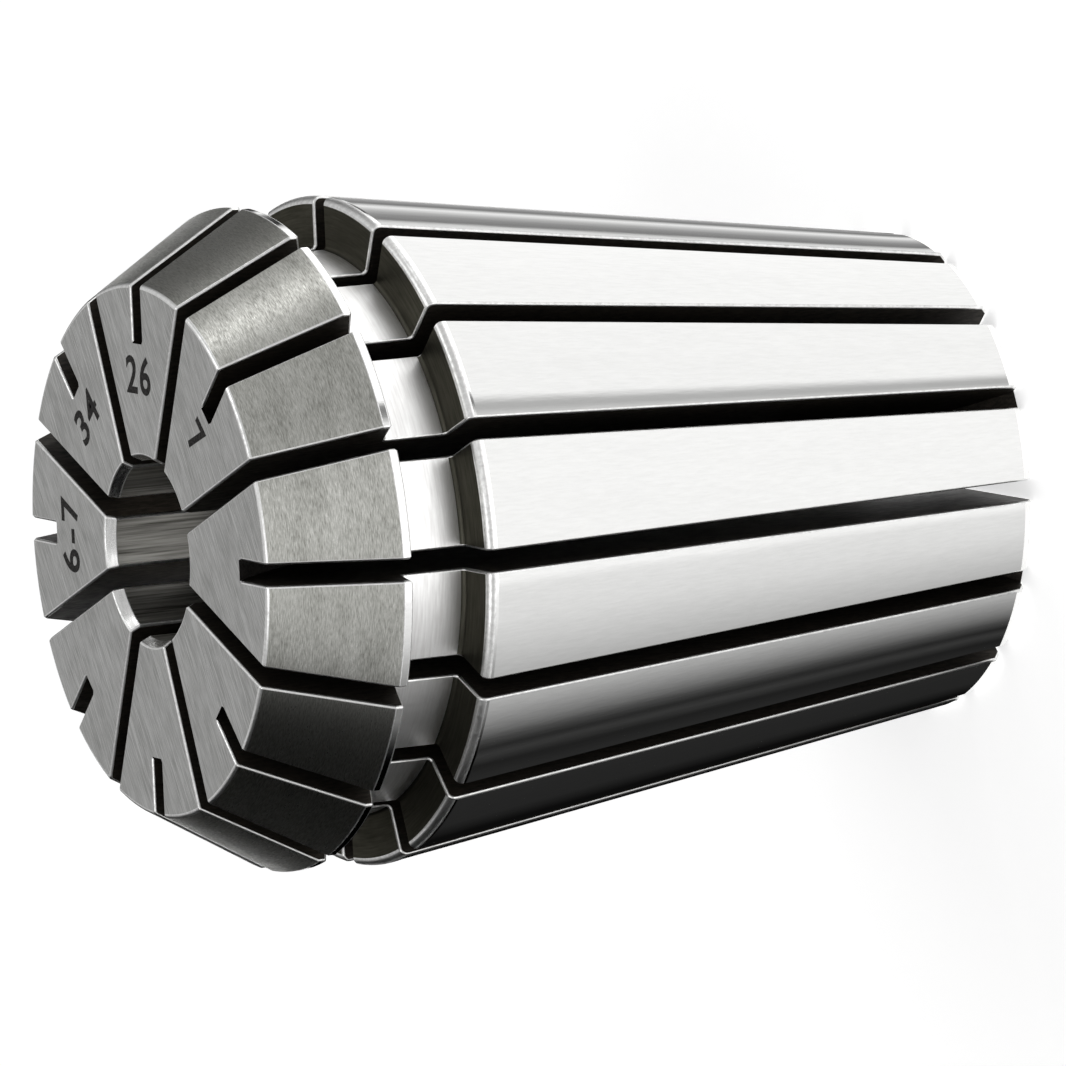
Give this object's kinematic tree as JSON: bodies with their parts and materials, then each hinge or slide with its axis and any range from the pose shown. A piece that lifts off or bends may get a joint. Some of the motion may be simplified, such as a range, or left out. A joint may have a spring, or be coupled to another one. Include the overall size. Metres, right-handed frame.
{
  "type": "er collet",
  "caption": "Double-slotted spring collet: short clamping cone, puller groove, long slow taper and a central through bore that closes on a tool shank.",
  "frame": {"origin": "centre of the small rear end, on the surface that the collet stands on", "axes": "+Z along the bore's axis, from the rear end towards the nose; +X through one of the eight front slots"},
  "size_m": [0.026, 0.026, 0.034],
  "materials": {
    "ground_steel": "ground and polished hardened steel, brushed on the nose face and nose cone"
  },
  "bodies": {
    "root": {"collet": "ground_steel"}
  },
  "joints": []
}
